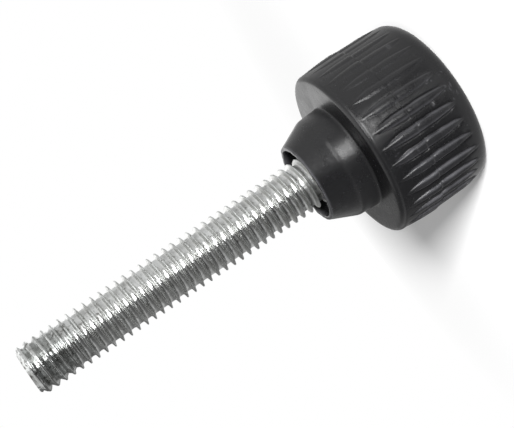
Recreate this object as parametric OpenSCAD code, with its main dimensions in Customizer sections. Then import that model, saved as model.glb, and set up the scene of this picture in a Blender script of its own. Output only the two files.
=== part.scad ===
// A threaded knob: a moulded hand grip with a hollow collar, moulded round the head of an M6 screw.
// It stands on the flat end of its grip. The origin is the centre of that flat end, and +Z runs
// along the screw to its tip. All sizes are in millimetres.

/* [Grip] */
// Diameter over the ribs of the outer half, at the parting line
grip_d = 20.06; // [16.5:0.02:28]
// Height of the grip, from its flat end to its underside
grip_h = 11.9; // [9.8:0.1:20]
// Height of the parting line above the flat end
parting_z = 6.9; // [5:0.1:8.3]
// How far the inner half stands out past the outer half all round, at the parting line
mould_step = 0.1; // [0.02:0.01:0.2]
// Draft angle of both halves, so that they leave the mould
draft = 0.6; // [0.2:0.1:2]
// Radius of the rounded edge round the flat end
end_edge_r = 1.65; // [0.8:0.05:2.4]
// Radius of the rounded edge round the underside
underside_edge_r = 0.6; // [0.3:0.05:1]

/* [Ribs] */
// Number of ribs round the grip
rib_count = 32; // [16:4:40]
// Height of a rib above the body, where it is highest
rib_h = 0.27; // [0.15:0.01:0.4]
// Radius of a rib's round cross-section
rib_r = 0.5; // [0.42:0.01:0.7]
// Distance from the underside down to the pointed tips of the ribs
rib_tip_gap = 0.75; // [0.7:0.05:1.4]
// Height above the flat end at which the ribs of the outer half begin
rib_start_z = 1.1; // [0.8:0.05:1.6]
// Slope of the crest at the beginning of those ribs, from the axis of the knob
rib_start_slope = 15; // [10:1:30]
// Bare strip between the ribs of the two halves, below the parting line
rib_break = 0.3; // [0:0.05:0.6]

/* [Collar] */
// Height of the collar, from the underside of the grip to its mouth
collar_h = 5.4; // [3.5:0.1:8]
// Wall left outside the corners of the screw's head, at the underside
collar_wall = 0.33; // [0.2:0.01:2]
// How far the collar draws in from the underside to its shoulder, on the radius
shoulder_draw = 0.15; // [0:0.01:0.2]
// Height of the shoulder above the underside, where the taper begins
shoulder_h = 2.4; // [1:0.1:3]
// Width of the ring-shaped gap round the thread at the mouth
pocket_gap = 1.23; // [0.6:0.01:1.5]
// Thickness of the wall at the mouth
mouth_wall = 0.42; // [0.3:0.02:0.6]
// Depth of the pocket round the screw, down to the face of its head
pocket_depth = 5; // [3:0.1:7]
// Draft angle of the pocket
pocket_draft = 1; // [0.2:0.1:2]

/* [Screw] */
// Major diameter over the crests of the thread, here M6 inside its tolerance
thread_d = 5.86; // [4.8:0.01:7.1]
// Length of thread that stands out past the mouth of the collar
free_length = 35; // [10:1:80]
// Height of the chamfer at the tip
tip_chamfer = 0.8; // [0.5:0.05:1.2]
// How far the chamfer draws the tip in, on the radius
tip_draw = 0.63; // [0.4:0.01:1]
// Width across the flats of the hexagon head
head_af = 10; // [8.2:0.1:12]
// Height of the hexagon head
head_h = 4; // [3:0.1:5]
// Angle of the chamfer round the far end of the head
head_chamfer_angle = 30; // [20:1:40]
// Gap between the head and the moulding, which is none because it is moulded round it
moulded_gap = 0; // [0:0.01:0.05]

/* [Hidden] */
$fn = 96;

// the outer half reaches from the flat end to the parting line, the inner half on to the underside
outer_body_r = grip_d / 2 - rib_h;
inner_body_r = outer_body_r + mould_step;
outer_crest_r = grip_d / 2;
inner_crest_r = inner_body_r + rib_h;
rib_tip_z = grip_h - rib_tip_gap;
rib_tip_r = inner_body_r - (rib_tip_z - parting_z) * tan(draft);
rib_pitch = 360 / rib_count;

head_corner_r = head_af / 2 / cos(180 / 6);
collar_base_r = head_corner_r + collar_wall;
shoulder_r = collar_base_r - shoulder_draw;
mouth_z = grip_h + collar_h;
pocket_z = mouth_z - pocket_depth;
pocket_mouth_r = thread_d / 2 + pocket_gap;
mouth_r = pocket_mouth_r + mouth_wall;
pocket_floor_r = pocket_mouth_r - pocket_depth * tan(pocket_draft);
tip_z = mouth_z + free_length;
// how far a cut runs on past the surface that it opens
overrun = 1;

// Half of the section between the flat end and the parting line, with the edge's arc tangent to both
module outer_half_section() {
    arc_x = outer_body_r - end_edge_r * cos(draft)
        - (parting_z - end_edge_r + end_edge_r * sin(draft)) * tan(draft);
    polygon([
        [0, 0],
        [arc_x, 0],
        [arc_x, end_edge_r],
        [arc_x + end_edge_r * cos(draft), end_edge_r - end_edge_r * sin(draft)],
        [outer_body_r, parting_z],
        [0, parting_z]
    ]);
    translate([arc_x, end_edge_r]) circle(r = end_edge_r);
}

// Half of the section between the parting line and the underside
module inner_half_section() {
    arc_z = grip_h - underside_edge_r;
    arc_x = inner_body_r - underside_edge_r * cos(draft)
        - (arc_z + underside_edge_r * sin(draft) - parting_z) * tan(draft);
    polygon([
        [0, parting_z],
        [inner_body_r, parting_z],
        [arc_x + underside_edge_r * cos(draft), arc_z + underside_edge_r * sin(draft)],
        [arc_x, arc_z],
        [arc_x, grip_h],
        [0, grip_h]
    ]);
    translate([arc_x, arc_z]) circle(r = underside_edge_r);
}

// Half of the section of the collar: a short straight base, then a taper to the thin mouth
module collar_section() {
    polygon([
        [0, grip_h - overrun],
        [collar_base_r, grip_h - overrun],
        [collar_base_r, grip_h],
        [shoulder_r, grip_h + shoulder_h],
        [mouth_r, mouth_z],
        [0, mouth_z]
    ]);
}

// The pocket runs on down into the room of the screw's head, so that the two cuts join
module pocket_section() {
    polygon([
        [0, pocket_z - overrun],
        [pocket_floor_r, pocket_z - overrun],
        [pocket_floor_r, pocket_z],
        [pocket_mouth_r, mouth_z],
        [pocket_mouth_r, mouth_z + overrun],
        [0, mouth_z + overrun]
    ]);
}

module moulded_body() {
    rotate_extrude() difference() {
        union() {
            outer_half_section();
            inner_half_section();
            collar_section();
        }
        pocket_section();
    }
}

// A round bar whose outermost line passes through radius r at height z and leans in by lean degrees
module rib_bar(r, z, lean, length) {
    translate([r, 0, z]) rotate([0, -lean, 0])
        translate([-rib_r, 0, -overrun / 2]) cylinder(r = rib_r, h = length + overrun / 2);
}

// The ribs of the inner half rise from a pointed tip near the underside to the parting line
module inner_ribs() {
    rise = inner_crest_r - rib_tip_r;
    run = rib_tip_z - parting_z;
    intersection() {
        for (i = [0 : rib_count - 1])
            rotate([0, 0, i * rib_pitch]) rib_bar(inner_crest_r, parting_z, atan(rise / run), run);
        translate([0, 0, parting_z]) cylinder(r = grip_d, h = grip_h - parting_z);
    }
}

// The ribs of the outer half keep nearly their whole height. They slope down at their beginning
// and end squarely at the bare strip.
module outer_ribs() {
    top_z = parting_z - rib_break;
    start_r = outer_body_r - (parting_z - rib_start_z) * tan(draft);
    slope_run = 2 * rib_h / tan(rib_start_slope);
    intersection() {
        for (i = [0 : rib_count - 1])
            rotate([0, 0, i * rib_pitch])
                translate([0, 0, parting_z]) mirror([0, 0, 1])
                    rib_bar(outer_crest_r, 0, draft, parting_z);
        rotate_extrude() polygon([
            [0, rib_start_z],
            [start_r, rib_start_z],
            [start_r + 2 * rib_h, rib_start_z + slope_run],
            [start_r + 2 * rib_h, top_z],
            [0, top_z]
        ]);
    }
}

// The hexagon head, with the chamfer round its far end. grow is the room left round it.
module screw_head(grow = 0) {
    corner_r = head_corner_r + grow / cos(180 / 6);
    flat_r = head_af / 2 * 0.95 + grow;
    chamfer_h = (corner_r - flat_r) * tan(head_chamfer_angle);
    translate([0, 0, pocket_z - head_h - grow]) intersection() {
        cylinder(r = corner_r, h = head_h + grow, $fn = 6);
        union() {
            cylinder(r1 = flat_r, r2 = corner_r + overrun, h = chamfer_h * (corner_r + overrun - flat_r)
                / (corner_r - flat_r));
            translate([0, 0, chamfer_h]) cylinder(r = corner_r + overrun, h = head_h);
        }
    }
}

// Black moulded plastic: the grip with its ribs, and the collar with its pocket, in one piece
module moulded_grip() {
    color("#2b2b2d") difference() {
        union() {
            moulded_body();
            inner_ribs();
            outer_ribs();
        }
        screw_head(moulded_gap);
    }
}

// Zinc-plated steel: the thread as a plain bar over its crests, chamfered at the tip, and the head
module threaded_stud() {
    color("silver") union() {
        screw_head();
        translate([0, 0, pocket_z - overrun])
            cylinder(d = thread_d, h = tip_z - tip_chamfer - pocket_z + overrun);
        translate([0, 0, tip_z - tip_chamfer])
            cylinder(r1 = thread_d / 2, r2 = thread_d / 2 - tip_draw, h = tip_chamfer);
    }
}

moulded_grip();
threaded_stud();
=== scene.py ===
"""A threaded knob: a black moulded hand grip with a hollow collar round the head of an M6 screw."""

import math
import random

import bpy
from mathutils import Matrix, Vector, noise


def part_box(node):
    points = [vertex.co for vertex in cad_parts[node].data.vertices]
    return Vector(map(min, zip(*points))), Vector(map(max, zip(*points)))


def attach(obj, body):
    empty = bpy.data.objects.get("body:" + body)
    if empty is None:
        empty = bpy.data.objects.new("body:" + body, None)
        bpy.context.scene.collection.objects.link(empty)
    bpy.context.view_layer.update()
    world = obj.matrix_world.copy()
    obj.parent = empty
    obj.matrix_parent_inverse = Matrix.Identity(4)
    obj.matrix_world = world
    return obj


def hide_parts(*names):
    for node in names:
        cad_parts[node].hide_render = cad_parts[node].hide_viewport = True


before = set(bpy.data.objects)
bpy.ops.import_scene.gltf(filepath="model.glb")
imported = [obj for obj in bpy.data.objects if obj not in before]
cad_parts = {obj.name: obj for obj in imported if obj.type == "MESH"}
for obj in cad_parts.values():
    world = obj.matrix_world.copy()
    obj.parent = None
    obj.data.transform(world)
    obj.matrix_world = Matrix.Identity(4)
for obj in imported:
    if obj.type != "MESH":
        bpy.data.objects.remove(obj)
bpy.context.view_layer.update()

# ---------------------------------------------------------------------------------------------
# The screw
# A zinc-plated steel M6 x 1 screw, 44 mm long over its hexagon head and threaded to the head.
# The thread is rolled, so its crests are narrow, and the first turns at the tip are only half
# formed. The plastic is moulded round the head, and the thread stands free above it.
# ---------------------------------------------------------------------------------------------
MM = 0.001
AXIS = Vector((0, 0, 1))
# points nearer than this are one point, in a turned mesh and in one left by a boolean
SAME_POINT = 0.001 * MM
SAME_POINT_CUT = 0.0005 * MM
# how near a point lies to a plane to be cut off along it
ON_PLANE = 0.0001 * MM
# the normal of a face that faces up has more than this along Z
FACES_UP = 0.9

PITCH = 1.0
CREST_R = 2.9
ROOT_R = 2.35
# half of one turn of the thread: distance from the middle of its crest, and radius there
THREAD_PROFILE = (
    (0.0, 2.9), (0.045, 2.892), (0.075, 2.86), (0.1, 2.79), (0.13, 2.67), (0.16, 2.56),
    (0.19, 2.46), (0.225, 2.39), (0.28, 2.355), (0.5, 2.345),
)
# the same where a turn at the tip is only half formed
HALF_FORMED = ((0.0, 2.87), (0.12, 2.85), (0.25, 2.74), (0.38, 2.5), (0.5, 2.39))
STEPS_A_TURN = 96
# height of a crest over the +X axis, which sets how the thread is turned
CREST_Z = 51.688
TIP_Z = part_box("threaded_stud")[1][2] / MM
TIP_FACE_R = 2.28
TIP_SLOPE = 1.25
# lengths at the tip: where the turns are ever less formed, where the flanks lose their matt plate
# and their painted sheen, where the surface is uneven, and where the turns are as blunt as they get
TIP_FORMING = 9.0
TIP_RUBBED = 4.0
TIP_UNEVEN = 3.0
TIP_BLUNT = 0.4
# the power by which the half-formed turns come on late
TIP_FORMING_POWER = 1.6
# points of the mesh nearer the axis than this are not on the thread
THREAD_FROM_R = ROOT_R - 0.2
# the worst dents in the crests: their depth, how many would fit in a millimetre, and how much of
# the noise they are made from leaves no dent
DENT_DEPTH = 0.16
DENTS_A_MM = 1.9
DENT_FREE = 0.12
# unevenness, as (depth, bumps in a millimetre): the small dents in the crests, the ripple of
# rolling all over, what is added to it near the tip, and the edge of the chamfer
SMALL_DENTS = (0.03, 0.8)
RIPPLE = (0.014, 3.1)
TIP_RIPPLE = (0.05, 1.6)
CHAMFER_RIPPLE = (0.12, 2.1)
# the hollow in the tip's face: the size of each ring as a share of the last, and its drop
DISH = ((0.86, -0.02), (0.8, -0.08), (0.6, -0.08))
# painted sheen: how much paler the flanks that face the tip, and those that face the head, are
# painted to look lit, and the distances from the middle of the crest over which that begins and
# ends
TIP_SIDE_PAINTED_SHEEN = 0.8
HEAD_SIDE_PAINTED_SHEEN = 0.2
PAINTED_SHEEN_BEGINS = (0.05, 0.13)
PAINTED_SHEEN_ENDS = (0.22, 0.34)

HEAD_BOTTOM_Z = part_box("threaded_stud")[0][2] / MM
HEAD_H = 4.0
HEAD_TOP_Z = HEAD_BOTTOM_Z + HEAD_H
HEAD_AF = 10.0
HEAD_CHAMFER_R = 4.75
HEAD_CHAMFER_SLOPE = math.tan(math.radians(30))
# how far the blank of the head reaches past its corners
BLANK_OVER = 0.5
# how far the thread runs on into the head, to be joined to it
THREAD_IN_HEAD = 0.4


def open_edit(obj):
    """Edit mode on one object, with all of it selected."""
    bpy.ops.object.select_all(action="DESELECT")
    obj.select_set(True)
    bpy.context.view_layer.objects.active = obj
    bpy.ops.object.mode_set(mode="EDIT")
    bpy.ops.mesh.select_all(action="SELECT")


def open_edit_faces(obj, wanted):
    """Edit mode on one object, with only those of its faces selected that are wanted."""
    open_edit(obj)
    bpy.ops.mesh.select_all(action="DESELECT")
    close_edit()
    for face in obj.data.polygons:
        face.select = wanted(face)
    bpy.ops.object.mode_set(mode="EDIT")


def close_edit():
    bpy.ops.object.mode_set(mode="OBJECT")


def merge_points(obj, distance):
    open_edit(obj)
    bpy.ops.mesh.remove_doubles(threshold=distance)
    close_edit()


def drawn_profile(name, points):
    """An object of one open line through points, (radius, height) in mm, drawn in the XZ plane."""
    bpy.ops.object.select_all(action="DESELECT")
    bpy.ops.mesh.primitive_plane_add(size=MM)
    obj = bpy.context.object
    obj.name = name
    open_edit(obj)
    bpy.ops.mesh.merge(type="CENTER")
    r, z = points[0]
    bpy.ops.transform.translate(value=(r * MM, 0, z * MM))
    for (r0, z0), (r1, z1) in zip(points, points[1:]):
        step = ((r1 - r0) * MM, 0, (z1 - z0) * MM)
        bpy.ops.mesh.extrude_region_move(TRANSFORM_OT_translate={"value": step})
    close_edit()
    return obj


def applied(obj, kind, **settings):
    """Adds a modifier to an object and applies it."""
    bpy.ops.object.select_all(action="DESELECT")
    obj.select_set(True)
    bpy.context.view_layer.objects.active = obj
    modifier = obj.modifiers.new(kind.lower(), kind)
    for key, value in settings.items():
        setattr(modifier, key, value)
    bpy.ops.object.modifier_apply(modifier=modifier.name)


def smooth_step(low, high, x):
    """0 up to low, 1 from high on, and a smooth rise between them."""
    t = min(1.0, max(0.0, (x - low) / (high - low)))
    return t * t * (3 - 2 * t)


def along(points, x):
    """The value at x on a line through (x, value) points, in order of x."""
    for (x0, y0), (x1, y1) in zip(points, points[1:]):
        if x <= x1:
            return y0 + (y1 - y0) * (x - x0) / (x1 - x0)
    return points[-1][1]


def uneven(spot, kind):
    """How far out a surface lies at a spot, for unevenness given as (depth, bumps in a mm)."""
    depth, bumps = kind
    return noise.noise(spot * bumps) * depth


def make_thread():
    """The thread, turned as one helical profile and cut off square at both ends."""
    first_crest = CREST_Z - math.ceil(CREST_Z - HEAD_TOP_Z) - PITCH
    turns = math.ceil(TIP_Z - first_crest) + 1
    falling = [(r, -d) for d, r in reversed(THREAD_PROFILE)]
    rising = [(r, d) for d, r in THREAD_PROFILE[1:]]
    line = [(r, first_crest + z) for r, z in falling + rising]
    thread = drawn_profile("screw", line)
    applied(
        thread, "SCREW", axis="Z", angle=2 * math.pi, screw_offset=PITCH * MM, iterations=turns,
        steps=STEPS_A_TURN, render_steps=STEPS_A_TURN, use_merge_vertices=False,
    )
    open_edit(thread)
    bpy.ops.mesh.remove_doubles(threshold=SAME_POINT)
    for height, side in ((TIP_Z, "clear_outer"), (HEAD_TOP_Z - THREAD_IN_HEAD, "clear_inner")):
        bpy.ops.mesh.select_all(action="SELECT")
        cut = {"plane_co": (0, 0, height * MM), "plane_no": AXIS, "use_fill": True, side: True}
        bpy.ops.mesh.bisect(threshold=ON_PLANE, **cut)
    bpy.ops.mesh.select_all(action="SELECT")
    bpy.ops.mesh.normals_make_consistent(inside=False)
    close_edit()
    return thread


def shape_tip(thread):
    """The half-formed first turns, the chamfer at the tip, and small dents along the crests. Notes
    in "pale" a painted sheen on the flanks, strongest on those that face the tip."""
    pale = thread.data.attributes.new("pale", "FLOAT", "POINT")
    for vertex in thread.data.vertices:
        x, y, z = vertex.co / MM
        r = math.hypot(x, y)
        if r < THREAD_FROM_R:
            continue
        turn = math.atan2(y, x) / (2 * math.pi)
        aside = (z - CREST_Z - turn * PITCH) / PITCH
        aside -= round(aside)
        offset = abs(aside) * PITCH
        # painted sheen: the flanks are painted paler, most on those that face the tip, fading out
        # near it
        flank = smooth_step(*PAINTED_SHEEN_BEGINS, offset) * (1 - smooth_step(*PAINTED_SHEEN_ENDS, offset))
        formed = 1 - smooth_step(TIP_Z - TIP_FORMING, TIP_Z - TIP_RUBBED, z)
        painted_sheen = TIP_SIDE_PAINTED_SHEEN if aside > 0 else HEAD_SIDE_PAINTED_SHEEN
        pale.data[vertex.index].value = painted_sheen * flank * formed

        spot = Vector((x, y, z))
        forming = smooth_step(TIP_Z - TIP_FORMING, TIP_Z - TIP_BLUNT, z) ** TIP_FORMING_POWER
        new_r = along(THREAD_PROFILE, offset) * (1 - forming) + along(HALF_FORMED, offset) * forming
        dent = max(0.0, noise.noise(spot * DENTS_A_MM) - DENT_FREE) * DENT_DEPTH
        dent += abs(uneven(spot, SMALL_DENTS))
        new_r -= dent * smooth_step(ROOT_R, CREST_R, new_r)
        new_r += uneven(spot, RIPPLE)
        new_r += uneven(spot, TIP_RIPPLE) * smooth_step(TIP_Z - TIP_UNEVEN, TIP_Z - TIP_BLUNT, z)
        chamfer_r = TIP_FACE_R + (TIP_Z - z) * TIP_SLOPE + uneven(spot, CHAMFER_RIPPLE)
        new_r = min(new_r, chamfer_r)
        vertex.co.x *= new_r / r
        vertex.co.y *= new_r / r


def make_head():
    """The hexagon head, with the chamfer round its far end turned before the flats meet it."""
    corner_r = HEAD_AF / 2 / math.cos(math.pi / 6)
    bpy.ops.object.select_all(action="DESELECT")
    bpy.ops.mesh.primitive_cylinder_add(
        vertices=6, radius=corner_r * MM, depth=HEAD_H * MM,
        location=(0, 0, (HEAD_BOTTOM_Z + HEAD_H / 2) * MM), rotation=(0, 0, math.pi / 6),
    )
    head = bpy.context.object
    bpy.ops.object.transform_apply(location=True, rotation=True, scale=True)
    # the blank that it is cut from: a cone up to past the corners, and a bar on from there
    blank_r = corner_r + BLANK_OVER
    cone_h = (blank_r - HEAD_CHAMFER_R) * HEAD_CHAMFER_SLOPE
    bpy.ops.object.select_all(action="DESELECT")
    bpy.ops.mesh.primitive_cone_add(
        vertices=96, radius1=HEAD_CHAMFER_R * MM, radius2=blank_r * MM, depth=cone_h * MM,
        location=(0, 0, (HEAD_BOTTOM_Z + cone_h / 2) * MM),
    )
    blank = bpy.context.object
    bpy.ops.object.transform_apply(location=True, rotation=True, scale=True)
    open_edit_faces(blank, lambda face: face.normal.z > FACES_UP)
    bpy.ops.mesh.extrude_region_move(TRANSFORM_OT_translate={"value": (0, 0, HEAD_H * MM)})
    close_edit()
    applied(head, "BOOLEAN", operation="INTERSECT", object=blank, solver="EXACT")
    bpy.data.objects.remove(blank)
    return head


def dish_end(thread):
    """The shallow hollow that rolling leaves in the end of the screw."""
    at_tip = (TIP_Z - 0.01) * MM

    def end_face(face):
        # the face that closes the thread has a corner for each step round it
        many_corners = len(face.vertices) > STEPS_A_TURN / 2
        return face.normal.z > FACES_UP and face.center.z > at_tip and many_corners

    open_edit_faces(thread, end_face)
    for scale, drop in DISH:
        bpy.ops.mesh.extrude_region_move(TRANSFORM_OT_translate={"value": (0, 0, drop * MM)})
        bpy.ops.transform.resize(value=(scale, scale, 1), center_override=(0, 0, TIP_Z * MM))
    close_edit()


def node(tree, kind, links=(), **settings):
    """Adds a shader node, sets its properties or its inputs by name, and links what is given."""
    made = tree.nodes.new(kind)
    for key, value in settings.items():
        if hasattr(made, key):
            setattr(made, key, value)
        else:
            made.inputs[key.replace("_", " ")].default_value = value
    for source, socket in links:
        tree.links.new(source, made.inputs[socket])
    return made


def hex_colour(code):
    """Linear colour of an sRGB hex value."""
    parts = [int(code[i:i + 2], 16) / 255 for i in (1, 3, 5)]
    linear = [c / 12.92 if c <= 0.04045 else ((c + 0.055) / 1.055) ** 2.4 for c in parts]
    return (*linear, 1.0)


def new_material(name):
    """A material with an empty node tree."""
    material = bpy.data.materials.new(name)
    material.use_nodes = True
    tree = material.node_tree
    tree.nodes.clear()
    return material, tree


def zinc_plate():
    """Bright zinc plate on rolled steel: a hard blue-white shine over the fine marks of the dies,
    with duller patches where handling has rubbed it, and a painted sheen on the flanks."""
    material, tree = new_material("bright_zinc_plate")
    place = node(tree, "ShaderNodeTexCoord").outputs["Object"]
    # a patch of dull plate is about 1.2 mm across, and the grain of the plate about 0.1 mm
    patches = node(
        tree, "ShaderNodeTexNoise", [(place, "Vector")], Scale=1 / (1.2 * MM), Detail=4.0,
    )
    grain = node(tree, "ShaderNodeTexNoise", [(place, "Vector")], Scale=1 / (0.1 * MM), Detail=3.0)
    dents = node(tree, "ShaderNodeTexNoise", [(place, "Vector")], Scale=1 / (0.45 * MM), Detail=2.0)
    tint = node(tree, "ShaderNodeValToRGB", [(patches.outputs["Fac"], "Fac")])
    tint.color_ramp.elements[0].position = 0.3
    tint.color_ramp.elements[0].color = hex_colour("#a9aaa8")
    tint.color_ramp.elements[1].position = 0.62
    tint.color_ramp.elements[1].color = hex_colour("#dcdedd")
    # dark specks about 0.4 mm across, a little thicker over the last 10 mm, which has been used
    specks = node(tree, "ShaderNodeTexNoise", [(place, "Vector")], Scale=1 / (0.4 * MM), Detail=3.0)
    height = node(tree, "ShaderNodeSeparateXYZ", [(place, 0)]).outputs["Z"]
    used = node(
        tree, "ShaderNodeMapRange", [(height, "Value")],
        From_Min=42 * MM, From_Max=(TIP_Z - 1) * MM, To_Min=0.0, To_Max=0.035,
    )
    dirt = node(
        tree, "ShaderNodeMath", [(specks.outputs["Fac"], 0), (used.outputs["Result"], 1)],
        operation="ADD",
    )
    dirty = node(
        tree, "ShaderNodeMapRange", [(dirt.outputs["Value"], "Value")], From_Min=0.6, From_Max=0.7,
    )
    soiled = node(
        tree, "ShaderNodeMix",
        [(dirty.outputs["Result"], "Factor"), (tint.outputs["Color"], "A")], data_type="RGBA",
    )
    soiled.inputs["B"].default_value = hex_colour("#7d7c79")
    # painted sheen: the flanks are painted paler, most of all those that face the tip
    pale = node(tree, "ShaderNodeAttribute", attribute_name="pale").outputs["Fac"]
    plate = node(
        tree, "ShaderNodeMix", [(pale, "Factor"), (soiled.outputs["Result"], "A")],
        data_type="RGBA",
    )
    plate.inputs["B"].default_value = hex_colour("#f6f6f4")
    shine = node(
        tree, "ShaderNodeMapRange", [(patches.outputs["Fac"], "Value")],
        From_Min=0.3, From_Max=0.7, To_Min=0.26, To_Max=0.13,
    )
    # the turns that stood next to the mould are dull
    dull = node(
        tree, "ShaderNodeMapRange", [(height, "Value")],
        From_Min=16.8 * MM, From_Max=19 * MM, To_Min=0.4, To_Max=0.0,
    )
    # from just outside the root the thread is matt, for the dies slide along it there
    sideways = node(tree, "ShaderNodeVectorMath", [(place, 0)], operation="MULTIPLY")
    sideways.inputs[1].default_value = (1, 1, 0)
    radius = node(
        tree, "ShaderNodeVectorMath", [(sideways.outputs["Vector"], 0)], operation="LENGTH",
    )
    slid = node(
        tree, "ShaderNodeMapRange", [(radius.outputs["Value"], "Value")],
        From_Min=(ROOT_R + 0.01) * MM, From_Max=(ROOT_R + 0.09) * MM, To_Min=0.0, To_Max=0.17,
    )
    formed = node(
        tree, "ShaderNodeMapRange", [(height, "Value")],
        From_Min=(TIP_Z - TIP_FORMING) * MM, From_Max=(TIP_Z - TIP_RUBBED) * MM,
        To_Min=1.0, To_Max=0.0,
    )
    matt = node(
        tree, "ShaderNodeMath", [(slid.outputs["Result"], 0), (formed.outputs["Result"], 1)],
        operation="MULTIPLY",
    )
    duller = node(
        tree, "ShaderNodeMath", [(matt.outputs["Value"], 0), (dull.outputs["Result"], 1)],
        operation="MAXIMUM",
    )
    rough = node(
        tree, "ShaderNodeMath", [(shine.outputs["Result"], 0), (duller.outputs["Value"], 1)],
        operation="ADD",
    )
    fine = node(
        tree, "ShaderNodeBump", [(grain.outputs["Fac"], "Height")],
        Strength=0.35, Distance=0.01 * MM,
    )
    bump = node(
        tree, "ShaderNodeBump",
        [(dents.outputs["Fac"], "Height"), (fine.outputs["Normal"], "Normal")],
        Strength=0.6, Distance=0.05 * MM,
    )
    shader = node(
        tree, "ShaderNodeBsdfPrincipled",
        [(plate.outputs["Result"], "Base Color"), (rough.outputs["Value"], "Roughness"),
         (bump.outputs["Normal"], "Normal")],
        Metallic=1.0,
    )
    node(tree, "ShaderNodeOutputMaterial", [(shader.outputs["BSDF"], "Surface")])
    return material


screw = make_thread()
shape_tip(screw)
dish_end(screw)
hexagon_head = make_head()
applied(screw, "BOOLEAN", operation="UNION", object=hexagon_head, solver="EXACT")
merge_points(screw, SAME_POINT_CUT)
bpy.ops.object.shade_smooth_by_angle(angle=math.radians(48))
screw.data.materials.clear()
screw.data.materials.append(zinc_plate())
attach(screw, "root")
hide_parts("threaded_stud")

# ---------------------------------------------------------------------------------------------
# The moulding
# The grip and its hollow collar, moulded in one shot of black nylon round the screw's head. It
# leaves a mould of two halves that part round the grip, each with its own ribs, and a steel
# sleeve forms the pocket round the thread.
# ---------------------------------------------------------------------------------------------
GRIP_Z = 11.9
PARTING_Z = 6.9
MOUTH_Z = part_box("moulded_grip")[1][2] / MM
OUTER_R = 9.76
INNER_R = 9.86
DRAFT = math.tan(math.radians(0.6))
COLLAR_BASE_R = 6.1035
SHOULDER_R = 5.95
SHOULDER_Z = GRIP_Z + 2.4
MOUTH_R = 4.58
POCKET_MOUTH_R = 4.16
POCKET_FLOOR_R = 4.07
POCKET_FLOOR_Z = HEAD_TOP_Z - 0.1
# the section from the centre of the flat end to the pocket's floor. Each corner has its radius and
# height, its rounding, the cuts across the straight run up to it, and the cuts across its rounding.
SECTION = (
    (0.0, 0.0, 0.0, 0, 0),
    (OUTER_R - PARTING_Z * DRAFT, 0.0, 1.65, 3, 12),
    (OUTER_R, PARTING_Z - 0.06, 0.0, 38, 0),
    (INNER_R, PARTING_Z + 0.02, 0.0, 1, 0),
    (INNER_R - (GRIP_Z - PARTING_Z) * DRAFT, GRIP_Z, 0.6, 36, 6),
    (COLLAR_BASE_R, GRIP_Z, 0.14, 6, 3),
    (SHOULDER_R, SHOULDER_Z, 1.6, 6, 10),
    (MOUTH_R, MOUTH_Z, 0.1, 12, 3),
    (POCKET_MOUTH_R, MOUTH_Z, 0.08, 2, 2),
    (POCKET_FLOOR_R, POCKET_FLOOR_Z, 0.0, 8, 0),
    (0.0, POCKET_FLOOR_Z, 0.0, 0, 0),
)

RIBS = 32
STEPS_A_RIB = 18
RIB_SPREAD = 2 * math.pi / RIBS
RIB_ROUND = 0.5
RIB_BREAK = 0.3
# the ribs lie on the mesh outside this radius and between these heights
RIBBED_FROM_R = 8.0
RIBBED_FROM_Z = 0.85
RIBBED_TO_Z = 11.45
# crest of a rib on each half: height, and radius there
INNER_CREST = (
    (6.9, 10.12), (7.6, 10.115), (8.3, 10.09), (9.0, 10.05), (9.7, 9.995), (10.3, 9.935),
    (10.9, 9.85), (11.4, 9.72),
)
OUTER_CREST = ((1.3, 9.5), (1.65, 9.7), (2.1, 9.84), (2.7, 9.93), (3.4, 9.975), (6.6, 10.025))
# how deep the crest dips where the ribs of the two halves meet, and half the width of the dip
PARTING_DIP = 0.05
PARTING_DIP_W = 0.2
# what differs from rib to rib: the lift of its crest, its shift along the grip, and its width as a
# share of the plain one
RIB_SEED = 11
RIB_LIFTS = (-0.012, 0.006)
RIB_SHIFTS = (-0.2, 0.2)
RIB_WIDTHS = (1.08, 1.22)
# how much a rib's edges wander, as a share of its width, and how far apart in the noise two ribs,
# its two sides, and places 1 mm apart along it are
EDGE_WANDER = 0.12
RIB_APART = 3.7
SIDE_APART = 5.1
MM_APART = 0.9
# the share of its width that a rib has at its ends, and the heights between which it widens from
# the flat end, and narrows again to the underside
END_WIDTH = 0.5
WIDENS = (1.2, 5.2)
NARROWS = (8.4, 11.6)
# the powers that shape a rib's cross-section: how flat its top is, and how steep its sides are
RIB_TOP_POWER = 2.4
RIB_SIDE_POWER = 0.5
# the mesh's lines across half a rib: shares of its half width, then distances from its edge, then
# shares of the rest of the valley
LINES_ON_RIB = (0.0, 0.45, 0.75, 0.93, 1.03)
LINES_BESIDE_RIB = (0.1, 0.2)
LINES_IN_VALLEY = (0.3, 0.65, 1.0)
NARROWEST_RIB = 0.16
# the groove beside a rib: its depth, what rubbing adds to it, how far its middle lies from the
# rib's edge, and its width
GROOVE_DEPTH = 0.08
GROOVE_RUBBED = 0.05
GROOVE_OUT = 0.08
GROOVE_W = 0.1
# heights of a rib between which its groove and its rubbed edges come in
DEEP = (0.05, 0.24)
# the side whose rib edges are most rubbed and carry most painted highlight, how much the other
# side has, and the cosines of the turn between which that changes
MOST_WORN_AND_SHEENED = math.radians(-40)
LEAST_RUB = 0.3
WORN_WITHIN = (-0.1, 0.7)
# the side on which the ribs are rubbed low and soft, the cosines of the turn between which they
# become so, and how much of their height, their grooves and their rub they lose
LOWEST_RIBS = math.radians(42)
LOW_WITHIN = (0.5, 0.95)
LOW_LOSES_HEIGHT = 0.62
LOW_LOSES_DEPTH = 0.8
# rub of a rib, wear with a painted highlight on its edges: along its crest, from where to where
# over its half width that grows to full, and what is left just past its edge, and over what width
CREST_RUB = 0.14
EDGE_RUBBED = (0.55, 0.92)
PAST_EDGE_RUB = 0.6
PAST_EDGE_W = 0.06
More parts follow.
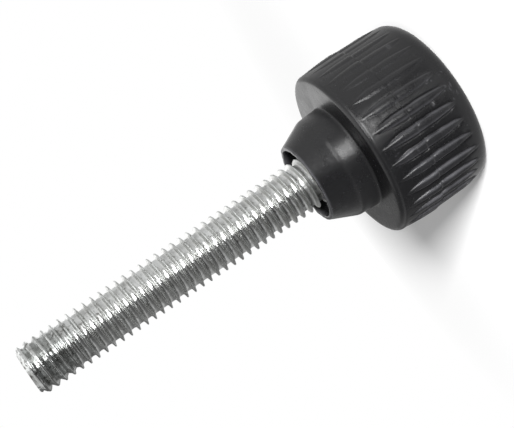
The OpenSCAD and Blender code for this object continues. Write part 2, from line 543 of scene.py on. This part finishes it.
# small marks in the grip: height, degrees round from +X, half length, half width, depth, paleness
NICKS = (
    (4.0, -4.3, 0.14, 0.26, 0.04, 0.45),
    (7.1, 8.9, 0.12, 0.12, 0.02, 0.45),
    (7.9, -21.6, 0.12, 0.16, 0.03, 0.5),
    (3.5, 44.0, 0.2, 0.3, 0.06, 0.3),
    (2.4, 28.0, 0.1, 0.45, 0.05, 0.0),
    (3.1, -152.0, 0.2, 0.2, 0.05, 0.3),
)
# the pale rim of a nick, in shares of its size: where it is palest, and how far it fades from there
NICK_RIM = 0.8
NICK_RIM_W = 0.7
# the mouth of the collar: how far down and in it is ragged, the radius between its two edges, how
# rubbed it is, and its unevenness as (depth, bumps in a mm)
RAGGED_H = 0.12
RAGGED_FROM_R = 4.0
INNER_EDGE_TO_R = 4.35
MOUTH_RUB = 0.7
RAGGED = (0.05, 1.4)
# the scrap of flash on the inner edge of the mouth: degrees round from +X, half its width there,
# how far it stands up and in, and what it adds to the rub
FLASH_TURN = -34.0
FLASH_SPREAD = 3.0
FLASH_H = 0.16
FLASH_IN = 0.2
FLASH_RUB = 0.3
# nothing moulded is quite true: how it sinks and swells as it cools, and the waves in its skin, as
# (depth, bumps in a mm), from this radius out
SINKING = (0.012, 0.45)
SKIN_WAVES = (0.005, 2.2)
UNTRUE_FROM_R = 1.0


def rounded_section():
    """The section's points in order, with its corners rounded and its straight runs divided."""
    last = Vector(SECTION[0][:2])
    points = [tuple(last)]
    for i, (r, z, rounding, run_cuts, rounding_cuts) in enumerate(SECTION[1:], 1):
        here = Vector((r, z))
        start = here
        if rounding:
            before = (last - here).normalized()
            after = (Vector(SECTION[i + 1][:2]) - here).normalized()
            half = before.angle(after) / 2
            start = here + before * rounding / math.tan(half)
            end = here + after * rounding / math.tan(half)
            middle = here + (before + after).normalized() * rounding / math.sin(half)
        for k in range(1, run_cuts + 2):
            points.append(tuple(last.lerp(start, k / (run_cuts + 1))))
        last = start
        if rounding:
            from_middle = start - middle
            sweep = from_middle.angle_signed(end - middle)
            for k in range(1, rounding_cuts + 1):
                arm = from_middle.copy()
                arm.rotate(Matrix.Rotation(-sweep * k / rounding_cuts, 2))
                points.append(tuple(middle + arm))
            last = end
    return points


def make_moulding():
    """The plain moulding, turned from its section."""
    moulding = drawn_profile("knob", rounded_section())
    steps = RIBS * STEPS_A_RIB
    applied(moulding, "SCREW", axis="Z", angle=2 * math.pi, steps=steps, render_steps=steps)
    open_edit(moulding)
    bpy.ops.mesh.remove_doubles(threshold=SAME_POINT)
    bpy.ops.mesh.normals_make_consistent(inside=False)
    close_edit()
    return moulding


def crest_at(z, lift, shift):
    """Radius of the crest of a rib at height z, with the soft break where the mould parts."""
    crest = INNER_CREST if z > PARTING_Z - RIB_BREAK / 2 else OUTER_CREST
    dip = PARTING_DIP * math.exp(-((z - PARTING_Z + RIB_BREAK / 2) / PARTING_DIP_W) ** 2)
    return along(crest, z - shift) + lift - dip


def on_ribs(r, angle, z, ribs):
    """Where a point of the grip's side goes, and how rubbed it is, as (radius, angle, rub). ribs
    gives each rib's lift, shift along the grip and width."""
    step = round(angle / RIB_SPREAD * STEPS_A_RIB)
    rib = math.floor((step + STEPS_A_RIB // 2) / STEPS_A_RIB)
    place = step - rib * STEPS_A_RIB
    side = -1 if place < 0 else 1
    index = rib % RIBS
    lift, shift, broad = ribs[index]
    rise = max(0.0, crest_at(z, lift, shift) - r)

    # the mesh's lines are drawn along the edges of the rib
    spot = Vector((index * RIB_APART, side * SIDE_APART, z * MM_APART))
    wander = 1 + EDGE_WANDER * noise.noise(spot)
    width = broad * wander * math.sqrt(max(0.0, 2 * RIB_ROUND * rise - rise * rise))
    middle = min(smooth_step(*WIDENS, z), smooth_step(-NARROWS[1], -NARROWS[0], -z))
    width *= END_WIDTH + (1 - END_WIDTH) * middle
    guide = max(width, NARROWEST_RIB)
    beside = [guide + out for out in LINES_BESIDE_RIB]
    valley = RIB_SPREAD * r / 2 - beside[-1]
    stops = [part * guide for part in LINES_ON_RIB] + beside
    stops += [beside[-1] + valley * part for part in LINES_IN_VALLEY]
    across = stops[abs(place)]
    angle = rib * RIB_SPREAD + side * across / r

    low = smooth_step(*LOW_WITHIN, math.cos(rib * RIB_SPREAD - LOWEST_RIBS))
    deep = smooth_step(*DEEP, rise) * (1 - LOW_LOSES_DEPTH * low)
    # how rubbed this side is, which also sets the painted highlight on the rib edges
    used = LEAST_RUB + (1 - LEAST_RUB) * smooth_step(*WORN_WITHIN, math.cos(angle - MOST_WORN_AND_SHEENED))
    if width > 0 and across < width:
        share = across / width
        section = (1 - share ** RIB_TOP_POWER) ** (RIB_SIDE_POWER + low)
        r += rise * (1 - LOW_LOSES_HEIGHT * low) * section
        rub = deep * (CREST_RUB + (1 - CREST_RUB) * smooth_step(*EDGE_RUBBED, share)) * used
    else:
        rub = PAST_EDGE_RUB * deep * max(0.0, 1 - (across - guide) / PAST_EDGE_W) * used
    groove = (GROOVE_DEPTH + GROOVE_RUBBED * used) * deep
    r -= groove * math.exp(-((across - guide - GROOVE_OUT) / GROOVE_W) ** 2)
    return r, angle, rub


def nicked(r, angle, z, rub):
    """Radius and rub of a point of the grip's side, with the nicks."""
    for nick_z, turn, long, wide, depth, pale in NICKS:
        aside = (math.degrees(angle) - turn + 180) % 360 - 180
        far = math.hypot((z - nick_z) / long, math.radians(aside) * r / wide)
        if far < NICK_RIM + NICK_RIM_W:
            r -= depth * max(0.0, 1 - far * far)
            rub = max(rub, pale * (1 - abs(far - NICK_RIM) / NICK_RIM_W))
    return r, rub


def shape_moulding(moulding):
    """Raises the ribs, with a shallow groove down each side of them, makes the mouth of the collar
    a little ragged, and notes in "wear" where hands have rubbed the plastic, with a painted
    highlight on the rib edges as well."""
    chance = random.Random(RIB_SEED)
    lifts = [chance.uniform(*RIB_LIFTS) for _ in range(RIBS)]
    shifts = [chance.uniform(*RIB_SHIFTS) for _ in range(RIBS)]
    widths = [chance.uniform(*RIB_WIDTHS) for _ in range(RIBS)]
    ribs = list(zip(lifts, shifts, widths))
    wear_and_sheen = moulding.data.attributes.new("wear_and_sheen", "FLOAT", "POINT")
    for vertex in moulding.data.vertices:
        x, y, z = vertex.co / MM
        r = math.hypot(x, y)
        angle = math.atan2(y, x)
        rub = 0.0
        on_grip = r > RIBBED_FROM_R and RIBBED_FROM_Z < z < RIBBED_TO_Z
        at_mouth = z > MOUTH_Z - RAGGED_H and r > RAGGED_FROM_R
        if on_grip:
            r, angle, rub = on_ribs(r, angle, z, ribs)
            r, rub = nicked(r, angle, z, rub)
        elif at_mouth:
            inner_edge = r < INNER_EDGE_TO_R
            aside = abs(math.degrees(angle) - FLASH_TURN)
            flash = max(0.0, 1 - aside / FLASH_SPREAD) if inner_edge else 0.0
            vertex.co.z += uneven(Vector((x, y, 0)), RAGGED) * MM
            vertex.co.z += FLASH_H * flash * MM
            r -= FLASH_IN * flash
            rub = MOUTH_RUB + FLASH_RUB * flash
        if on_grip or at_mouth:
            vertex.co.x = r * MM * math.cos(angle)
            vertex.co.y = r * MM * math.sin(angle)
        if r > UNTRUE_FROM_R:
            spot = vertex.co / MM
            swell = uneven(spot, SINKING) + uneven(spot, SKIN_WAVES)
            vertex.co.x *= 1 + swell / r
            vertex.co.y *= 1 + swell / r
        wear_and_sheen.data[vertex.index].value = rub


def black_nylon():
    """Glass-filled nylon from a polished mould: satin black, with a fine grain, rubbed to a
    duller grey on the ribs, which along their edges is partly a painted highlight, and marked by
    small scratches."""
    material, tree = new_material("moulded_black_nylon")
    place = node(tree, "ShaderNodeTexCoord").outputs["Object"]
    wear_and_sheen = node(tree, "ShaderNodeAttribute", attribute_name="wear_and_sheen").outputs["Fac"]
    # the skin clouds over some 2 mm, and its grain is about 0.08 mm
    cloud = node(tree, "ShaderNodeTexNoise", [(place, "Vector")], Scale=1 / (2.0 * MM), Detail=5.0)
    grain = node(tree, "ShaderNodeTexNoise", [(place, "Vector")], Scale=1 / (0.08 * MM), Detail=3.0)
    # paler grey where rubbed: wear, and on the rib edges a painted highlight as well
    rubbed = node(
        tree, "ShaderNodeMath", [(wear_and_sheen, 0), (cloud.outputs["Fac"], 1)], operation="MULTIPLY",
    )
    # fine pale scratches, some 0.05 mm wide and under a millimetre long, here and there
    lie = node(tree, "ShaderNodeMapping", [(place, "Vector")])
    lie.inputs["Rotation"].default_value = (0.5, 0.35, 0.6)
    lie.inputs["Scale"].default_value = (1 / (0.05 * MM), 1 / (0.9 * MM), 1 / (0.3 * MM))
    streaks = node(
        tree, "ShaderNodeTexNoise", [(lie.outputs["Vector"], "Vector")], Scale=1.0, Detail=1.0,
    )
    few = node(tree, "ShaderNodeTexNoise", [(place, "Vector")], Scale=1 / (3.0 * MM), Detail=1.0)
    marks = node(
        tree, "ShaderNodeMath", [(streaks.outputs["Fac"], 0), (few.outputs["Fac"], 1)],
        operation="ADD",
    )
    scratched = node(
        tree, "ShaderNodeMapRange", [(marks.outputs["Value"], "Value")],
        From_Min=1.32, From_Max=1.46, To_Min=0.0, To_Max=0.3,
    )
    pale = node(
        tree, "ShaderNodeMath",
        [(rubbed.outputs["Value"], 0), (scratched.outputs["Result"], 1)], operation="MAXIMUM",
    )
    tint = node(tree, "ShaderNodeMix", [(pale.outputs["Value"], "Factor")], data_type="RGBA")
    tint.inputs["A"].default_value = hex_colour("#0b0b0c")
    tint.inputs["B"].default_value = hex_colour("#464649")
    rough = node(
        tree, "ShaderNodeMapRange", [(cloud.outputs["Fac"], "Value")],
        From_Min=0.3, From_Max=0.7, To_Min=0.22, To_Max=0.34,
    )
    skin = node(tree, "ShaderNodeTexNoise", [(place, "Vector")], Scale=1 / (0.6 * MM), Detail=2.0)
    fine = node(
        tree, "ShaderNodeBump", [(grain.outputs["Fac"], "Height")],
        Strength=0.3, Distance=0.01 * MM,
    )
    bump = node(
        tree, "ShaderNodeBump",
        [(skin.outputs["Fac"], "Height"), (fine.outputs["Normal"], "Normal")],
        Strength=0.4, Distance=0.03 * MM,
    )
    shader = node(
        tree, "ShaderNodeBsdfPrincipled",
        [(tint.outputs["Result"], "Base Color"), (rough.outputs["Result"], "Roughness"),
         (bump.outputs["Normal"], "Normal")],
    )
    node(tree, "ShaderNodeOutputMaterial", [(shader.outputs["BSDF"], "Surface")])
    return material


knob = make_moulding()
shape_moulding(knob)
applied(knob, "BOOLEAN", operation="DIFFERENCE", object=hexagon_head, solver="EXACT")
bpy.data.objects.remove(hexagon_head)
merge_points(knob, SAME_POINT_CUT)
bpy.ops.object.shade_smooth_by_angle(angle=math.radians(40))
knob.data.materials.clear()
knob.data.materials.append(black_nylon())
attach(knob, "root")
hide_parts("moulded_grip")

# ---------------------------------------------------------------------------------------------
# The table, the light and the camera
# A white table top under a white sky, with two lamps. A cloth on a rail goes all round, and bright
# panes and pale cards stand inside it, so that the metal and the gloss have something to show.
# ---------------------------------------------------------------------------------------------


def shown_white(tree):
    """1 for the camera and for what metal and gloss show, 0 for light that falls on the object."""
    path = node(tree, "ShaderNodeLightPath")
    seen = node(
        tree, "ShaderNodeMath",
        [(path.outputs["Is Camera Ray"], 0), (path.outputs["Is Glossy Ray"], 1)],
        operation="MAXIMUM",
    )
    return node(
        tree, "ShaderNodeMath",
        [(seen.outputs["Value"], 0), (path.outputs["Is Transmission Ray"], 1)], operation="MAXIMUM",
    ).outputs["Value"]


scene = bpy.context.scene
scene.view_settings.view_transform = "Standard"

world = bpy.data.worlds.new("white_sky")
world.use_nodes = True
scene.world = world
sky = world.node_tree
sky.nodes.clear()
# the sky shows white, and lights the object at a third of that
sky_level = node(sky, "ShaderNodeMapRange", [(shown_white(sky), "Value")], To_Min=0.33, To_Max=1.0)
sky_light = node(
    sky, "ShaderNodeBackground", [(sky_level.outputs["Result"], "Strength")], Color=(1, 1, 1, 1),
)
node(sky, "ShaderNodeOutputWorld", [(sky_light.outputs["Background"], "Surface")])


def white_table():
    """Plain white card, which shows white but for the shadow of what stands on it."""
    material, tree = new_material("white_card")
    place = node(tree, "ShaderNodeTexCoord").outputs["Object"]
    away = node(tree, "ShaderNodeVectorMath", [(place, 0)], operation="LENGTH")
    # its own shading shows up to 38 mm from the axis and is gone by 64 mm
    fade = node(
        tree, "ShaderNodeMapRange", [(away.outputs["Value"], "Value")],
        From_Min=38 * MM, From_Max=64 * MM, To_Min=0.0, To_Max=1.0,
    )
    share = node(
        tree, "ShaderNodeMath", [(shown_white(tree), 0), (fade.outputs["Result"], 1)],
        operation="MULTIPLY",
    )
    card = node(tree, "ShaderNodeBsdfDiffuse", Color=hex_colour("#f4f4f4"))
    white = node(tree, "ShaderNodeEmission", Color=(1, 1, 1, 1), Strength=1.0)
    both = node(
        tree, "ShaderNodeMixShader",
        [(share.outputs["Value"], "Fac"), (card.outputs["BSDF"], 1),
         (white.outputs["Emission"], 2)],
    )
    node(tree, "ShaderNodeOutputMaterial", [(both.outputs["Shader"], "Surface")])
    return material


bpy.ops.object.select_all(action="DESELECT")
bpy.ops.mesh.primitive_circle_add(vertices=96, radius=1.5, fill_type="NGON")
table = bpy.context.object
table.name = "table"
table.data.materials.append(white_table())

# turn from +X of the side that the camera looks from
CAMERA_AZIMUTH = -1.6
# a cloth hangs from a rail all round the object
RAIL_R = 64
RAIL_H = 95
# Glows round the axis are given by turn, from the camera's side clockwise to the back and on, as
# (share of a turn, level), and by height, as (height in mm, level).
CLOTH_BY_TURN = (
    (0.0, 0.32), (0.13, 0.4), (0.2, 0.55), (0.36, 0.6), (0.49, 0.5), (0.64, 0.6), (1.0, 0.6),
)
CLOTH_BY_HEIGHT = ((0, 0.28), (6, 0.3), (13, 1.0), (24, 0.9), (34, 0.5), (50, 0.3), (RAIL_H, 0.3))
NEAR_TABLE_BY_TURN = (
    (0.0, 0.16), (0.03, 0.1), (0.2, 0.08), (0.33, 0.25), (0.5, 0.45), (0.7, 0.62), (0.89, 0.75),
    (0.935, 0.2), (1.0, 0.16),
)
FOOT_BY_TURN = ((0.0, 0.6), (0.5, 0.7), (1.0, 0.6))
CEILING_BY_TURN = ((0.0, 0.52), (0.25, 0.52), (0.5, 1.0), (0.6, 1.4), (1.0, 1.4))
# flat cards that face the object: name, turn from the camera's side, distance from the axis, width,
# bottom, top, level
CARDS = (
    ("low_pane", 12, 59, 27, 0.2, 10.0, 13.0),
    ("middle_pane", 24, 60, 49, 13, 46, 2.8),
    ("high_pane", 14, 58, 17, 33, 42, 10.0),
    ("top_pane", 36, 58, 24, 62, RAIL_H, 1.6),
    ("pale_card", 68, 59, 44, 0, RAIL_H, 0.8),
    ("pale_card", 106, 59, 44, 0, RAIL_H, 0.7),
    ("pale_card", 142, 59, 40, 0, RAIL_H, 0.7),
    ("back_card", 168, 57, 26, 6, RAIL_H, 1.3),
)


def on_circle(azimuth, distance, height):
    """A place in metres, from an azimuth in degrees and a distance and height in mm."""
    a = math.radians(azimuth)
    return Vector((distance * math.cos(a), distance * math.sin(a), height)) * MM


def only_in_gloss(obj):
    """Leaves an object to be seen in gloss alone, where it lights nothing and throws no shadow."""
    obj.visible_camera = False
    obj.visible_diffuse = False
    obj.visible_shadow = False


def set_ramp(ramp, stops):
    """Grey stops, (place, level), on a colour ramp."""
    while len(ramp.elements) < len(stops):
        ramp.elements.new(0.5)
    for element, (position, level) in zip(ramp.elements, stops):
        element.position = position
        element.color = (level, level, level, 1)


def round_glow(name, by_turn, by_height=None):
    """A glow that changes with the turn round the axis, and with height where that is given."""
    material, tree = new_material(name)
    place = node(
        tree, "ShaderNodeSeparateXYZ", [(node(tree, "ShaderNodeTexCoord").outputs["Object"], 0)],
    )
    turn = node(
        tree, "ShaderNodeMath", [(place.outputs["Y"], 0), (place.outputs["X"], 1)],
        operation="ARCTAN2",
    )
    share = node(tree, "ShaderNodeMath", [(turn.outputs["Value"], 0)], operation="DIVIDE")
    share.inputs[1].default_value = -2 * math.pi
    whole = node(tree, "ShaderNodeMath", [(share.outputs["Value"], 0)], operation="FRACT")
    level = node(tree, "ShaderNodeValToRGB", [(whole.outputs["Value"], "Fac")])
    set_ramp(level.color_ramp, by_turn)
    level = level.outputs["Color"]
    if by_height:
        top = by_height[-1][0]
        up = node(tree, "ShaderNodeMath", [(place.outputs["Z"], 0)], operation="DIVIDE")
        up.inputs[1].default_value = top * MM
        height = node(tree, "ShaderNodeValToRGB", [(up.outputs["Value"], "Fac")])
        set_ramp(height.color_ramp, [(h / top, k) for h, k in by_height])
        level = node(
            tree, "ShaderNodeMath", [(level, 0), (height.outputs["Color"], 1)],
            operation="MULTIPLY",
        ).outputs["Value"]
    glow = node(tree, "ShaderNodeEmission", [(level, "Strength")], Color=(1, 1, 1, 1))
    node(tree, "ShaderNodeOutputMaterial", [(glow.outputs["Emission"], "Surface")])
    return material


def round_card(name, radius, height, by_turn):
    """A level round card at a height over the table, in mm, that glows by turn."""
    bpy.ops.object.select_all(action="DESELECT")
    bpy.ops.mesh.primitive_circle_add(
        vertices=90, radius=radius * MM, fill_type="NGON", location=(0, 0, height * MM),
    )
    card = bpy.context.object
    card.name = name
    card.data.materials.append(round_glow(name, by_turn))
    only_in_gloss(card)


def flat_card(name, turn, distance, width, bottom, top, level):
    """A card that stands up and faces the object, and glows evenly."""
    azimuth = CAMERA_AZIMUTH + turn
    bpy.ops.object.select_all(action="DESELECT")
    bpy.ops.mesh.primitive_plane_add(
        size=1, location=on_circle(azimuth, distance, (bottom + top) / 2),
        rotation=(math.pi / 2, 0, math.radians(azimuth + 90)),
    )
    card = bpy.context.object
    card.name = name
    card.scale = (width * MM, (top - bottom) * MM, 1)
    material, tree = new_material(name)
    glow = node(tree, "ShaderNodeEmission", Color=(1, 1, 1, 1), Strength=level)
    node(tree, "ShaderNodeOutputMaterial", [(glow.outputs["Emission"], "Surface")])
    card.data.materials.append(material)
    only_in_gloss(card)


def soft_lamp(name, turn, distance, height, size, level, aim_height):
    """A lamp of one even brightness over its face, aimed at a height on the object's axis, that
    gloss doesn't see. Sizes are in mm."""
    data = bpy.data.lights.new(name, "AREA")
    data.shape = "RECTANGLE"
    data.size = size[0] * MM
    data.size_y = size[1] * MM
    data.energy = level * math.pi * data.size * data.size_y
    lamp = bpy.data.objects.new(name, data)
    bpy.context.collection.objects.link(lamp)
    lamp.location = on_circle(CAMERA_AZIMUTH + turn, distance, height)
    aim = Vector((0, 0, aim_height * MM)) - lamp.location
    lamp.rotation_euler = aim.to_track_quat("-Z", "Y").to_euler()
    lamp.visible_camera = False
    lamp.visible_glossy = False


bpy.ops.object.select_all(action="DESELECT")
bpy.ops.mesh.primitive_cylinder_add(
    vertices=90, radius=RAIL_R * MM, depth=RAIL_H * MM, end_fill_type="NOTHING",
    location=(0, 0, RAIL_H / 2 * MM),
)
cloth = bpy.context.object
cloth.name = "cloth"
bpy.ops.object.transform_apply(location=True, rotation=True, scale=True)
cloth.data.materials.append(round_glow("cloth", CLOTH_BY_TURN, CLOTH_BY_HEIGHT))
only_in_gloss(cloth)

# what the gloss sees of the table near the object and at its foot, and a ceiling over the cloth
round_card("near_table", RAIL_R, 0.05, NEAR_TABLE_BY_TURN)
round_card("foot_card", 15, 0.1, FOOT_BY_TURN)
round_card("ceiling", RAIL_R, RAIL_H, CEILING_BY_TURN)

# a lamp in front throws the object's shadow back along the table, and one low at the side fills in
soft_lamp(
    "lamp", turn=12, distance=400, height=114, size=(72, 72), level=340, aim_height=8,
)
soft_lamp(
    "side_lamp", turn=-75, distance=150, height=10, size=(60, 16), level=75, aim_height=8,
)
for card in CARDS:
    flat_card(*card)

# the camera stands a little above square to the screw, and is rolled so that the knob lies aslant
AIM = Vector((0.009, 0.286, 23.506)) * MM
CAMERA_DISTANCE = 137.03 * MM
CAMERA_ELEVATION = math.radians(10.23)
LOOK_AZIMUTH = math.radians(178.28)
ROLL = math.radians(124.16)
LENS = 90.85

look = Vector((
    math.cos(LOOK_AZIMUTH) * math.cos(CAMERA_ELEVATION),
    math.sin(LOOK_AZIMUTH) * math.cos(CAMERA_ELEVATION),
    -math.sin(CAMERA_ELEVATION),
))
camera_data = bpy.data.cameras.new("camera")
camera_data.lens = LENS
camera_data.sensor_width = 36
camera_data.clip_start = 10 * MM
camera = bpy.data.objects.new("camera", camera_data)
bpy.context.collection.objects.link(camera)
turned = look.to_track_quat("-Z", "Y").to_matrix() @ Matrix.Rotation(-ROLL, 3, "Z")
camera.matrix_world = Matrix.Translation(AIM - look * CAMERA_DISTANCE) @ turned.to_4x4()
scene.camera = camera
